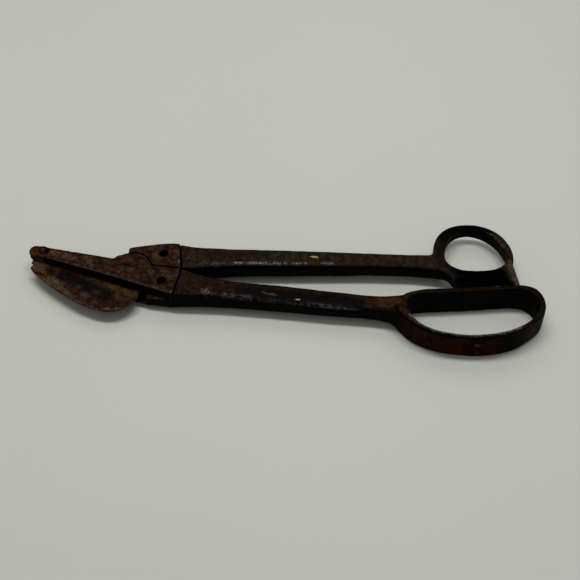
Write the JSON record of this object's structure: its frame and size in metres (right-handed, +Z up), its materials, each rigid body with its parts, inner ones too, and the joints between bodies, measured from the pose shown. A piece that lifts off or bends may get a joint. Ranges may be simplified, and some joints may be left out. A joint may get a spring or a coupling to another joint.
{
  "type": "metal shear",
  "caption": "Long-handled hand shear for sheet metal: a narrow straight blade crosses a leaf-shaped blade on a pivot rivet, with a tall finger loop and a round thumb loop.",
  "frame": {"origin": "under the middle of the closed tool's bounding box, on the surface that the tool lies on", "axes": "+X runs along the handles from the blades' tip to the loops, +Y runs across from the finger loop to the thumb loop, +Z is up from the surface the tool lies on"},
  "size_m": [0.4316, 0.1264, 0.028],
  "materials": {
    "forged_blade": "forged steel with a brown patina and patches of rust",
    "painted_handle": "black paint worn to brown steel",
    "dark_rivet": "dark oxidised steel",
    "rusty_rivet": "rusted steel"
  },
  "bodies": {
    "straight_half": {"straight_blade": "forged_blade", "finger_loop_handle": "painted_handle", "pivot_rivet": "dark_rivet", "pivot_washer": "dark_rivet", "tip_rivet": "rusty_rivet", "finger_handle_pin": "dark_rivet"},
    "belly_half": {"belly_blade": "forged_blade", "thumb_loop_handle": "painted_handle", "thumb_handle_pin": "dark_rivet"}
  },
  "joints": [
    {"name": "pivot", "type": "hinge", "parent": "straight_half", "child": "belly_half", "pos_m": [-0.1264, -0.01324, 0.014], "axis": [0, 0, 1], "range_deg": [0, 19]}
  ]
}
